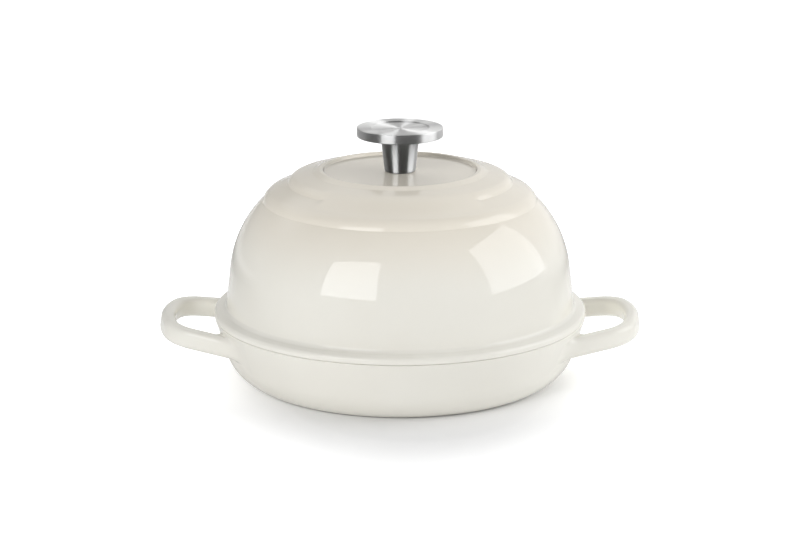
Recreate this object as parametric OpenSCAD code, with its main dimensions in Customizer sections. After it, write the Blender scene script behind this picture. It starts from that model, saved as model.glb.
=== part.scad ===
// Bread cloche: a shallow round pan with two loop handles under a tall domed lid.
// Both shells are iron castings. The lid carries a turned knob, held by a screw from inside.
// +Z is up, the handles lie along X, and the origin is on the table under the middle of the pan.

/* [Seat between pan and lid] */
// Outer radius where pan and lid meet
seat_r = 124; // [116:0.5:132]
// Height of the seat above the table
seat_z = 41.6; // [38:0.1:48]
// Width of the flat seat on the pan's rim
rim_w = 6.5; // [5.8:0.1:8]
// Rounding of the two outer edges that meet at the seat
seat_edge = 0.9; // [0.3:0.1:1.5]
// Drop of the lid's locating lip inside the pan
lip_h = 3.2; // [2:0.1:5]
// Radial clearance between the lip and the pan
lip_gap = 0.7; // [0.5:0.1:1.5]
// Rounding of the lip's lower edges
lip_round = 1; // [0.3:0.1:1.6]

/* [Pan] */
// Lean of the pan's wall from upright, in degrees
pan_draft = 16.9; // [12:0.1:20]
// Radius of the round between the pan's wall and its foot
pan_round = 28.4; // [26:0.1:32]
// Height at which the pan's wall turns into that round
pan_round_z = 17.8; // [16:0.1:19]
// Thickness of the pan's wall
pan_wall = 4.2; // [3.4:0.1:5]
// Thickness of the pan's floor above the table
pan_floor = 5.2; // [4.4:0.1:6.5]
// Width of the flat ring that the pan stands on
foot_w = 14; // [8:0.5:25]
// Depth of the shallow recess inside that ring
foot_recess = 0.8; // [0.3:0.1:1.5]
// Number of raised rings on the pan's floor
floor_rings = 4; // [1:1:5]
// Radius of the smallest floor ring
floor_ring_r = 20; // [15:1:25]
// Distance from one floor ring to the next
floor_ring_pitch = 16; // [10:1:17]
// Width of a floor ring
floor_ring_w = 5; // [3:0.5:7]
// Height of a floor ring
floor_ring_h = 1.3; // [0.6:0.1:2]

/* [Loop handles] */
// Reach of the loop beyond the seat, along its own slope
loop_reach = 36.6; // [32:0.2:42]
// Width of the bar, seen from above
bar_w = 9.5; // [8:0.1:11]
// Height of the bar
bar_h = 13.2; // [10:0.1:14]
// Rounding of the bar's edges
bar_round = 4; // [2:0.1:4.5]
// Radius of the gently curved front of the loop
front_r = 81.5; // [70:0.5:100]
// Half of the angle that the front sweeps
front_turn = 17.5; // [14:0.5:20]
// Radius of the loop's two corners
corner_r = 22.6; // [19:0.2:25]
// Angle by which each arm spreads towards the pan
arm_spread = 16; // [10:1:22]
// Upward slope of the loop, in degrees
loop_tilt = 9; // [4:0.5:12]
// Height of the bar's middle where it leaves the seat circle
loop_z = 31.9; // [29:0.1:34]
// Radius that blends the finger side of each arm into the wall
inner_root_r = 10; // [4:0.5:13]
// Radius that blends the outer side of each arm into the wall
outer_root_r = 26; // [14:1:30]

/* [Lid dome] */
// Thickness of the lid's wall
lid_wall = 4; // [3.2:0.1:4.8]
// Height of the flange's upright outer edge
flange_h = 4.1; // [3.5:0.1:6]
// Rise of the flange's top towards the wall
flange_rise = 1.9; // [0.5:0.1:3]
// Step in from the flange's edge to the foot of the wall
flange_w = 7.8; // [6:0.1:9]
// Rounding of the flange's outer edge
flange_round = 2.3; // [1:0.1:3]
// Radius of the hollow between flange and wall
cove_r = 3; // [1.5:0.5:6]
// Lean of the lid's wall from upright, in degrees
lid_draft = 6.8; // [4:0.1:9]
// Height above the seat at which the wall turns into the dome
dome_z = 32.8; // [26:0.2:38]
// Radius of the dome's round
dome_round = 74.5; // [70:0.5:80]

/* [Lid crown] */
// Radius of the crease around the first step
first_step_r = 90.9; // [87:0.1:93]
// Width of the first step's steep side
first_side_w = 2.4; // [1.2:0.1:3.2]
// Height of the first step's steep side
first_side_h = 5.3; // [2.4:0.1:5.6]
// Radius of the crease around the second step
second_step_r = 74.5; // [72:0.1:77]
// Width of the second step's steep side
second_side_w = 2.6; // [1.6:0.1:5]
// Height of the second step's steep side
second_side_h = 4.2; // [2:0.1:5]
// Rise of the terrace between the two steps
first_terrace_h = 6.3; // [4:0.1:8]
// Rise of the terrace between the second step and the ridge
second_terrace_h = 3.1; // [2:0.1:4.5]
// Rise of the ridge's outer slope
ridge_h = 1.9; // [1:0.1:3]
// Width of the ridge's outer slope
ridge_slope_w = 4.6; // [3:0.1:6]
// Width of the ridge's top
ridge_top_w = 2.4; // [1.4:0.1:3.4]
// Radius of the sunk round plate inside the ridge
plate_r = 50; // [46:0.5:54]
// Depth of the sunk plate below the ridge
plate_sink = 1.9; // [1:0.1:3]
// Inward lean of the step down to the plate, in degrees
plate_draft = 30; // [10:1:45]
// Rounding of the plate's edge
plate_edge = 0.8; // [0.3:0.1:1.5]
// Thickness of the lid at the plate
plate_t = 5.2; // [4.4:0.1:6]
// Radius of the flat ceiling inside the lid
ceiling_r = 60.6; // [57:0.1:64]
// Rounding where the ceiling and the dome meet the cone between them
ceiling_round = 34; // [10:1:40]
// Rounding of the first step's shoulder
first_shoulder_round = 10.5; // [2:0.5:12]
// Rounding of the first step's crease
first_crease_round = 0.6; // [0.3:0.1:2]
// Rounding of the second step's shoulder
second_shoulder_round = 7; // [2:0.5:9]
// Rounding of the second step's crease
second_crease_round = 0.8; // [0.3:0.1:2]
// Rounding of the ridge's foot
ridge_foot_round = 3.4; // [1.5:0.1:5]
// Rounding of the ridge's top towards its outer slope
ridge_round = 1.6; // [0.6:0.1:3]
// Half of the angle at the front where the second step fades out, left smooth
smooth_front = 42; // [30:1:55]

/* [Knob] */
// Radius of the knob's flat head
knob_r = 28.5; // [25:0.5:32]
// Thickness of the knob's head
knob_head_t = 6.1; // [5:0.1:8]
// Height of the stem between lid and head
stem_h = 23.6; // [18:0.2:30]
// Radius of the stem under the head
stem_top_r = 12.9; // [11:0.1:15]
// Radius of the stem on the lid
stem_foot_r = 10.1; // [9:0.1:11]
// Rounding where the stem meets the head
stem_flare = 1.6; // [0.6:0.1:3]
// Rounding of the stem's foot
stem_edge = 1.5; // [0.5:0.1:2.5]
// Rounding of the head's edges
knob_edge = 0.7; // [0.3:0.1:1.5]
// Radius of the shallow dish turned into the head
dish_r = 19.5; // [14:0.5:22]
// Depth of that dish
dish_depth = 0.9; // [0.4:0.1:1.6]

/* [Fastening] */
// Radius of the screw's shank
screw_r = 3; // [2.5:0.1:3.5]
// Clearance round the shank in the knob's bore
bore_gap = 0.1; // [0.05:0.01:0.2]
// Clearance round the shank in the lid's hole and in the washers
hole_gap = 0.5; // [0.3:0.1:1]
// Length of shank that goes into the knob
screw_reach = 13; // [9:0.5:16]
// Free depth of the knob's bore past the end of the screw
bore_spare = 2; // [1:0.5:4]
// Radius of the screw's head
screw_head_r = 6; // [5:0.1:7]
// Height of the screw's head
screw_head_h = 3.4; // [2.6:0.1:4.2]
// Length of the cross slot in the head
slot_l = 7; // [5:0.5:8]
// Width of the cross slot
slot_w = 1.5; // [1:0.1:2]
// Depth of the cross slot
slot_d = 1.9; // [1:0.1:2.2]
// Outer radius of the flat washer
flat_washer_r = 9; // [8:0.5:12]
// Thickness of the flat washer
flat_washer_t = 1.2; // [0.8:0.1:1.6]
// Outer radius of the spring washer
lock_washer_r = 5.5; // [5:0.1:7]
// Thickness of the spring washer
lock_washer_t = 1.6; // [1.2:0.1:2]
// Angle of the spring washer's split
lock_split = 14; // [8:1:25]

/* [Hidden] */
$fn = 96;

cream = [0.93, 0.91, 0.86];
steel = [0.72, 0.72, 0.73];
zinc = [0.60, 0.61, 0.63];

// Steps along each kind of curve
corner_steps = 6;
arc_steps = 14;
front_steps = 3;
turn_steps = 7;
arm_steps = 11;
edge_steps = 4;
// Turn left free at the end of the dome's inner round, in which it bends into the cone
cone_lead = 3;
// How far a cutting shape reaches past what it cuts
past = 1;

rim_in = seat_r - rim_w;
lip_r = rim_in - lip_gap;

// The pan's round has its centre inboard of the wall, and its inner face shares that centre
pan_turn_r = seat_r - (seat_z - pan_round_z) * tan(pan_draft);
pan_centre = [pan_turn_r - pan_round * cos(pan_draft), pan_round_z + pan_round * sin(pan_draft)];
foot_r = circle_r(pan_centre, pan_round, 0);
pan_inner_round = pan_round - pan_wall;
pan_inner_r = circle_r(pan_centre, pan_inner_round, pan_floor);
rim_in_z = seat_z - (seat_r - pan_wall / cos(pan_draft) - rim_in) / tan(pan_draft);

// The lid's wall leans in to the dome's round, which runs up to the first step
wall_foot_r = seat_r - flange_w;
wall_foot_z = seat_z + flange_h + flange_rise;
dome_turn_z = seat_z + dome_z;
dome_turn_r = wall_foot_r - (dome_turn_z - wall_foot_z) * tan(lid_draft);
dome_centre = [dome_turn_r - dome_round * cos(lid_draft), dome_turn_z - dome_round * sin(lid_draft)];
dome_inner_round = dome_round - lid_wall;
lid_inner_foot_r = wall_foot_r + (wall_foot_z - seat_z) * tan(lid_draft) - lid_wall / cos(lid_draft);

// Heights of the crown, counted up from the end of the dome's round
first_crease_z = circle_z(dome_centre, dome_round, first_step_r);
first_shoulder_z = first_crease_z + first_side_h;
second_crease_z = first_shoulder_z + first_terrace_h;
second_shoulder_z = second_crease_z + second_side_h;
ridge_foot_z = second_shoulder_z + second_terrace_h;
ridge_z = ridge_foot_z + ridge_h;
ridge_in = plate_r + plate_sink * tan(plate_draft);
ridge_out = ridge_in + ridge_top_w;
plate_z = ridge_z - plate_sink;
ceiling_z = plate_z - plate_t;
first_shoulder = [first_step_r - first_side_w, first_shoulder_z];
second_shoulder = [second_step_r - second_side_w, second_shoulder_z];

// Inside, the dome's round ends under the first crease, and a cone leads on to the flat ceiling
dome_end = acos((first_step_r - dome_centre.x) / dome_round);
cone_foot = dome_centre + dome_inner_round * [cos(dome_end), sin(dome_end)];

// Stack of the fastening under the plate
hole_r = screw_r + hole_gap;
bore_r = screw_r + bore_gap;
bore_depth = screw_reach + bore_spare;
flat_washer_z = ceiling_z - flat_washer_t;
lock_washer_z = flat_washer_z - lock_washer_t;

// The loop is drawn in its own sloping plane, from the seat circle outwards
front_x = loop_reach - bar_w / 2;
front_centre_x = front_x - front_r;
corner_x = front_centre_x + (front_r - corner_r) * cos(front_turn);
corner_y = (front_r - corner_r) * sin(front_turn);
arm_turn = 90 - arm_spread;
arm_start = [corner_x + corner_r * cos(arm_turn), corner_y + corner_r * sin(arm_turn)];
arm_way = [-cos(arm_spread), sin(arm_spread)];
root_wall_r = seat_r - (seat_z - loop_z) * tan(pan_draft);
inner_root = root_span(-1, inner_root_r);
outer_root = root_span(1, outer_root_r);
arm_l = outer_root[0] + outer_root[1] + rim_w;

// Outer distance of a circle's upper or lower half from the axis, at height z
function circle_r(centre, r, z) = centre.x + sqrt(r * r - (z - centre.y) * (z - centre.y));
// Height of a circle's top half at distance x from the axis
function circle_z(centre, r, x) = centre.y + sqrt(r * r - (x - centre.x) * (x - centre.x));

// Points along an arc
function arc(centre, r, from, to, steps = arc_steps) =
    [for (i = [0 : steps]) let (a = from + (to - from) * i / steps)
        [centre.x + r * cos(a), centre.y + r * sin(a), 0]];

// A path's entries are [x, y, rounding], and these functions turn its corners into arcs
function flat(p) = [p.x, p.y];
function around(path, i) = path[(i + len(path)) % len(path)];
function leg(path, i) = flat(around(path, i)) - flat(around(path, i - 1));
function turn_at(path, i) =
    let (a = -leg(path, i), b = leg(path, i + 1))
        acos(max(-1, min(1, a * b / (norm(a) * norm(b)))));
function wanted(path, i) = around(path, i)[2] / tan(max(turn_at(path, i) / 2, 1));
function share(path, i, j) =
    norm(leg(path, j)) * 0.98 / max(wanted(path, j) + wanted(path, j - 1), 0.001);
function setback(path, i) = wanted(path, i) * min(1, share(path, i, i), share(path, i, i + 1));
function corner(path, i) =
    let (a = -leg(path, i) / norm(leg(path, i)),
         b = leg(path, i + 1) / norm(leg(path, i + 1)),
         s = setback(path, i),
         half = turn_at(path, i) / 2,
         r = s * tan(half),
         c = flat(path[i]) + (a + b) / norm(a + b) * r / sin(half),
         p = flat(path[i]) + a * s - c,
         q = flat(path[i]) + b * s - c,
         from = atan2(p.y, p.x),
         swing = (atan2(q.y, q.x) - from + 540) % 360 - 180)
    [for (k = [0 : corner_steps]) let (t = from + swing * k / corner_steps) c + r * [cos(t), sin(t)]];
function rounded(path) =
    [for (i = [0 : len(path) - 1]) each (path[i][2] > 0 ? corner(path, i) : [flat(path[i])])];

// Outline of the pan without its hollow
function pan_outline() = concat(
    [[0, foot_recess, 0],
     [foot_r - foot_w, foot_recess, foot_recess],
     [foot_r - foot_w + 2 * foot_recess, 0, foot_recess]],
    arc(pan_centre, pan_round, -acos((foot_r - pan_centre.x) / pan_round), -pan_draft),
    [[seat_r, seat_z, seat_edge],
     [0, seat_z, 0]]);

// The pan's hollow, open at the top
function pan_hollow() = concat(
    [[0, pan_floor, 0]],
    arc(pan_centre, pan_inner_round,
        -acos((pan_inner_r - pan_centre.x) / pan_inner_round), -pan_draft),
    [[rim_in, rim_in_z, lip_round],
     [rim_in, seat_z - seat_edge, 0],
     [rim_in + seat_edge, seat_z, 0],
     [rim_in + seat_edge, seat_z + past, 0],
     [0, seat_z + past, 0]]);

// Section of the lid, from the hole in the plate out over the crown and back inside
function lid_outline() = concat(
    [[hole_r, plate_z, 0],
     [plate_r, plate_z, plate_edge],
     [ridge_in, ridge_z, plate_edge],
     [ridge_out, ridge_z, ridge_round],
     [ridge_out + ridge_slope_w, ridge_foot_z, ridge_foot_round],
     [second_shoulder.x, second_shoulder.y, second_shoulder_round],
     [second_step_r, second_crease_z, second_crease_round],
     [first_shoulder.x, first_shoulder.y, first_shoulder_round],
     [first_step_r, first_crease_z, first_crease_round]],
    arc(dome_centre, dome_round, acos((first_step_r + past - dome_centre.x) / dome_round), lid_draft),
    [[wall_foot_r, wall_foot_z, cove_r],
     [seat_r, seat_z + flange_h, flange_round],
     [seat_r, seat_z, seat_edge],
     [lip_r, seat_z, plate_edge],
     [lip_r, seat_z - lip_h, lip_round],
     [lid_inner_foot_r, seat_z - lip_h, lip_round]],
    arc(dome_centre, dome_inner_round, lid_draft, dome_end - cone_lead),
    [[cone_foot.x, cone_foot.y, ceiling_round],
     [ceiling_r, ceiling_z, ceiling_round],
     [hole_r, ceiling_z, 0]]);

// Where a root blend starts along an arm, and how far it runs to the wall; side is 1 on the outside
function root_span(side, r) =
    let (normal = [sin(arm_spread), cos(arm_spread)] * side,
         from_hub = arm_start + normal * (bar_w / 2 + r) + [seat_r, 0],
         b = from_hub * arm_way,
         c = from_hub * from_hub - pow(root_wall_r + r, 2),
         start = -b - sqrt(max(b * b - c, 0)),
         centre = from_hub + arm_way * start,
         on_wall = centre * root_wall_r / (root_wall_r + r))
    [max(start, 0), min((on_wall - centre) * arm_way, r * 0.98)];

// Stations along half of the loop, from the middle of its front to inside the wall. Each is
// [x, y, turn, distance along the arm].
function half_loop() = concat(
    [for (i = [0 : front_steps]) let (a = front_turn * i / front_steps)
        [front_centre_x + front_r * cos(a), front_r * sin(a), a, 0]],
    [for (i = [1 : turn_steps]) let (a = front_turn + (arm_turn - front_turn) * i / turn_steps)
        [corner_x + corner_r * cos(a), corner_y + corner_r * sin(a), a, 0]],
    [for (i = [1 : arm_steps]) let (d = arm_l * i / arm_steps)
        [arm_start.x + arm_way.x * d, arm_start.y + arm_way.y * d, arm_turn, d]]);

// How much one side of an arm is widened by its root blend
function widening(d, root, r) =
    let (t = max(min(d - root[0], root[1]), 0))
        r - sqrt(r * r - t * t);

// One ring of points round the bar
function bar_ring(at) =
    let (inner = -bar_w / 2 - widening(at[3], inner_root, inner_root_r) + bar_round,
         outer = bar_w / 2 + widening(at[3], outer_root, outer_root_r) - bar_round,
         high = bar_h / 2 - bar_round)
    [for (c = [[outer, high, 0], [inner, high, 90], [inner, -high, 180], [outer, -high, 270]])
        for (i = [0 : edge_steps])
            let (a = c[2] + 90 * i / edge_steps,
                 u = c.x + bar_round * cos(a))
                [at.x + u * cos(at[2]), at.y + u * sin(at[2]), c.y + bar_round * sin(a)]];

module loop_handle() {
    half = half_loop();
    stations = concat(
        [for (i = [len(half) - 1 : -1 : 1]) [half[i].x, -half[i].y, -half[i][2], half[i][3]]],
        half);
    n = 4 * (edge_steps + 1);
    last = len(stations) - 1;
    translate([seat_r, 0, loop_z])
        rotate([0, -loop_tilt, 0])
            polyhedron(
                points = [for (at = stations) each bar_ring(at)],
                faces = concat(
                    [[for (k = [n - 1 : -1 : 0]) k]],
                    [[for (k = [0 : n - 1]) last * n + k]],
                    [for (i = [0 : last - 1], k = [0 : n - 1])
                        let (j = (k + 1) % n)
                            each [[i * n + k, i * n + j, (i + 1) * n + k],
                                  [i * n + j, (i + 1) * n + j, (i + 1) * n + k]]]));
}

module base_pan() {
    color(cream)
        union() {
            difference() {
                union() {
                    rotate_extrude()
                        polygon(rounded(pan_outline()));
                    loop_handle();
                    rotate([0, 0, 180])
                        loop_handle();
                }
                rotate_extrude()
                    polygon(rounded(pan_hollow()));
            }
            for (i = [0 : floor_rings - 1])
                floor_ring(floor_ring_r + i * floor_ring_pitch);
        }
}

// One raised ring on the pan's floor
module floor_ring(r) {
    rotate_extrude()
        translate([r, pan_floor])
            polygon(rounded([
                [-floor_ring_w / 2, -past, 0],
                [floor_ring_w / 2, -past, 0],
                [floor_ring_w / 2, 0, 0],
                [floor_ring_w / 4, floor_ring_h, floor_ring_h],
                [-floor_ring_w / 4, floor_ring_h, floor_ring_h],
                [-floor_ring_w / 2, 0, 0]]));
}

module dome_lid() {
    color(cream)
        union() {
            rotate_extrude()
                polygon(rounded(lid_outline()));
            smooth_front_fill();
        }
}

// Fills the second crease at the front, where the crown stays smooth
module smooth_front_fill() {
    crease = [second_step_r, second_crease_z];
    // The fill's face runs from low on the second shoulder to halfway down the terrace below
    high = second_shoulder + (crease - second_shoulder) * 0.15;
    low = (crease + first_shoulder) / 2;
    fill_sink = 1.6;
    rotate([0, 0, -90 - smooth_front])
        rotate_extrude(angle = 2 * smooth_front)
            polygon([high, low, crease - [0, fill_sink], high - [0, fill_sink]]);
}

module knob() {
    top = stem_h + knob_head_t;
    color(steel)
        translate([0, 0, plate_z])
            rotate_extrude()
                polygon(rounded([
                    [bore_r, 0, 0],
                    [stem_foot_r, 0, stem_edge],
                    [stem_top_r, stem_h, stem_flare],
                    [knob_r, stem_h, knob_edge],
                    [knob_r, top, knob_edge],
                    [dish_r, top, knob_edge / 2],
                    [dish_r - dish_depth, top - dish_depth, dish_depth],
                    [0, top - dish_depth, 0],
                    [0, bore_depth, 0],
                    [bore_r, bore_depth, 0]]));
}

module knob_screw() {
    color(zinc)
        translate([0, 0, lock_washer_z])
            difference() {
                union() {
                    rotate_extrude()
                        polygon(rounded([
                            [0, -screw_head_h, 0],
                            [screw_head_r, -screw_head_h, screw_head_h / 2],
                            [screw_head_r, 0, 0],
                            [0, 0, 0]]));
                    cylinder(r = screw_r, h = plate_z - lock_washer_z + screw_reach);
                }
                for (a = [0, 90])
                    rotate([0, 0, a])
                        translate([-slot_l / 2, -slot_w / 2, -screw_head_h - past])
                            cube([slot_l, slot_w, slot_d + past]);
            }
}

module lock_washer() {
    color(zinc)
        translate([0, 0, lock_washer_z])
            rotate([0, 0, lock_split / 2 - 90])
                rotate_extrude(angle = 360 - lock_split)
                    translate([hole_r, 0])
                        square([lock_washer_r - hole_r, lock_washer_t]);
}

module flat_washer() {
    color(zinc)
        translate([0, 0, flat_washer_z])
            difference() {
                cylinder(r = flat_washer_r, h = flat_washer_t);
                translate([0, 0, -past])
                    cylinder(r = hole_r, h = flat_washer_t + 2 * past);
            }
}

base_pan();
dome_lid();
knob();
knob_screw();
lock_washer();
flat_washer();
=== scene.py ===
import math

import bmesh
import bpy
from mathutils import Matrix, Vector


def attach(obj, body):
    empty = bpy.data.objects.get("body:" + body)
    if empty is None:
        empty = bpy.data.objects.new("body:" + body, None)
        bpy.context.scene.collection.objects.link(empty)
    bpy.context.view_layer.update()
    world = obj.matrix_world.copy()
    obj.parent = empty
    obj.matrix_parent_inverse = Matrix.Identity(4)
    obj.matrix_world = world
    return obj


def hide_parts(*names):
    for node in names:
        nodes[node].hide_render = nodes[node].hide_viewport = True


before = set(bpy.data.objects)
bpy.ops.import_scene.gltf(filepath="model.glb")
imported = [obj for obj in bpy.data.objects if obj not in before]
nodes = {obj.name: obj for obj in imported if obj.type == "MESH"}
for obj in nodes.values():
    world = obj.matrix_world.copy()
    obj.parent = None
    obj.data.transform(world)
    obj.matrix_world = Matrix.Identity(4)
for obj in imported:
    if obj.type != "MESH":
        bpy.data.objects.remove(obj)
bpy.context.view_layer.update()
millimetre = 0.001
mergeGap = 0.01
print("frame loaded:", sorted(nodes))


# camera, placed where the photograph was taken from
cameraPlace = {
    "distance": 1.600,
    "height": 0.498,
    "downTilt": 14.89,
    "lens": 111.65,
    "sensor": 36.0,
    "farthest": 50,
}
cameraData = bpy.data.cameras.new("studioCamera")
cameraData.lens = cameraPlace["lens"]
cameraData.sensor_width = cameraPlace["sensor"]
cameraData.sensor_fit = "HORIZONTAL"
cameraData.clip_end = cameraPlace["farthest"]
camera = bpy.data.objects.new("studioCamera", cameraData)
camera.location = (0, -cameraPlace["distance"], cameraPlace["height"])
camera.rotation_euler = (math.radians(90 - cameraPlace["downTilt"]), 0, 0)
bpy.context.collection.objects.link(camera)
bpy.context.scene.camera = camera
bpy.context.scene.view_settings.view_transform = "Standard"
print("camera ready")


def newMaterial(name):
    material = bpy.data.materials.new(name)
    material.use_nodes = True
    tree = material.node_tree
    return material, tree, tree.nodes["Principled BSDF"]


def addNode(tree, kind, place, **settings):
    node = tree.nodes.new(kind)
    node.location = place
    for name, value in settings.items():
        setattr(node, name, value)
    return node


def rangeNode(tree, place, low, high, fromLevel=0.0, toLevel=1.0, smooth=False):
    # turns low..high into fromLevel..toLevel
    node = addNode(tree, "ShaderNodeMapRange", place)
    node.interpolation_type = "SMOOTHSTEP" if smooth else "LINEAR"
    for label, value in (("From Min", low), ("From Max", high), ("To Min", fromLevel), ("To Max", toLevel)):
        node.inputs[label].default_value = value
    return node


def mixTints(tree, place, first=None, second=None):
    node = addNode(tree, "ShaderNodeMix", place, data_type="RGBA")
    for label, tint in (("A", first), ("B", second)):
        if tint:
            node.inputs[label].default_value = tint
    return node


def mixLevels(tree, place, first=0.0, second=0.0):
    node = addNode(tree, "ShaderNodeMix", place, data_type="FLOAT")
    node.inputs["A"].default_value = first
    node.inputs["B"].default_value = second
    return node


def addRelief(tree, shader, height, strength, depth):
    # fine relief, in metres, from a height between 0 and 1
    bump = addNode(tree, "ShaderNodeBump", (-300, -300))
    bump.inputs["Strength"].default_value = strength
    bump.inputs["Distance"].default_value = depth
    tree.links.new(height, bump.inputs["Height"])
    tree.links.new(bump.outputs["Normal"], shader.inputs["Normal"])


def newGroup(name, inputs, outputs):
    group = bpy.data.node_groups.new(name, "ShaderNodeTree")
    for label, kind, value in inputs:
        socket = group.interface.new_socket(label, in_out="INPUT", socket_type=kind)
        if value is not None:
            socket.default_value = value
    for label, kind in outputs:
        group.interface.new_socket(label, in_out="OUTPUT", socket_type=kind)
    start = addNode(group, "NodeGroupInput", (-800, 0))
    end = addNode(group, "NodeGroupOutput", (600, 0))
    return group, start, end


def placeGroup(tree, group, place, **values):
    node = addNode(tree, "ShaderNodeGroup", place, node_tree=group)
    for name, value in values.items():
        node.inputs[name].default_value = value
    return node


def placeTint(tree, look):
    values = {"Tint": look["tint"], "OtherTint": look["otherTint"], "Scale": look["cloudScale"]}
    return placeGroup(tree, cloudyTint, (-700, 300), **values)


# effects shared by several materials
def makeGlazeWaves():
    # slow waves of the fired coat, with a fine orange peel on top
    group, start, end = newGroup(
        "glazeWaves",
        [
            ("WaveScale", "NodeSocketFloat", 18.0),
            ("WaveDepth", "NodeSocketFloat", 1.0),
            ("PeelScale", "NodeSocketFloat", 600.0),
            ("PeelDepth", "NodeSocketFloat", 0.02),
        ],
        [("Height", "NodeSocketFloat")],
    )
    place = addNode(group, "ShaderNodeTexCoord", (-800, -250))
    waves = addNode(group, "ShaderNodeTexNoise", (-500, 150))
    waves.inputs["Detail"].default_value = 1.5
    peel = addNode(group, "ShaderNodeTexNoise", (-500, -150))
    peel.inputs["Detail"].default_value = 1.0
    waveHeight = addNode(group, "ShaderNodeMath", (-250, 150), operation="MULTIPLY")
    both = addNode(group, "ShaderNodeMath", (0, 0), operation="MULTIPLY_ADD")
    link = group.links.new
    link(place.outputs["Object"], waves.inputs["Vector"])
    link(place.outputs["Object"], peel.inputs["Vector"])
    link(start.outputs["WaveScale"], waves.inputs["Scale"])
    link(start.outputs["PeelScale"], peel.inputs["Scale"])
    link(waves.outputs["Fac"], waveHeight.inputs[0])
    link(start.outputs["WaveDepth"], waveHeight.inputs[1])
    link(peel.outputs["Fac"], both.inputs[0])
    link(start.outputs["PeelDepth"], both.inputs[1])
    link(waveHeight.outputs["Value"], both.inputs[2])
    link(both.outputs["Value"], end.inputs["Height"])
    return group


def makeCloudyTint():
    # drifts slowly between two nearby tints
    group, start, end = newGroup(
        "cloudyTint",
        [
            ("Tint", "NodeSocketColor", (0.8, 0.8, 0.8, 1)),
            ("OtherTint", "NodeSocketColor", (0.8, 0.8, 0.8, 1)),
            ("Scale", "NodeSocketFloat", 12.0),
        ],
        [("Color", "NodeSocketColor"), ("Mask", "NodeSocketFloat")],
    )
    place = addNode(group, "ShaderNodeTexCoord", (-800, -250))
    clouds = addNode(group, "ShaderNodeTexNoise", (-500, 0))
    clouds.inputs["Detail"].default_value = 3.0
    spread = rangeNode(group, (-250, 0), 0.35, 0.65, smooth=True)
    blend = mixTints(group, (100, 0))
    link = group.links.new
    link(place.outputs["Object"], clouds.inputs["Vector"])
    link(start.outputs["Scale"], clouds.inputs["Scale"])
    link(clouds.outputs["Fac"], spread.inputs["Value"])
    link(spread.outputs["Result"], blend.inputs["Factor"])
    link(start.outputs["Tint"], blend.inputs["A"])
    link(start.outputs["OtherTint"], blend.inputs["B"])
    link(blend.outputs["Result"], end.inputs["Color"])
    link(spread.outputs["Result"], end.inputs["Mask"])
    return group


def makeSpeckle():
    # small specks, as a mask from 0 to 1
    group, start, end = newGroup(
        "speckle",
        [("Scale", "NodeSocketFloat", 900.0), ("Amount", "NodeSocketFloat", 0.3)],
        [("Mask", "NodeSocketFloat")],
    )
    place = addNode(group, "ShaderNodeTexCoord", (-800, -250))
    specks = addNode(group, "ShaderNodeTexVoronoi", (-500, 0))
    cut = rangeNode(group, (-200, 0), 0.0, 1.0, 1.0, 0.0, smooth=True)
    link = group.links.new
    link(place.outputs["Object"], specks.inputs["Vector"])
    link(start.outputs["Scale"], specks.inputs["Scale"])
    link(specks.outputs["Distance"], cut.inputs["Value"])
    link(start.outputs["Amount"], cut.inputs["From Max"])
    link(cut.outputs["Result"], end.inputs["Mask"])
    return group


glazeWaves = makeGlazeWaves()
cloudyTint = makeCloudyTint()
speckle = makeSpeckle()


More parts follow.
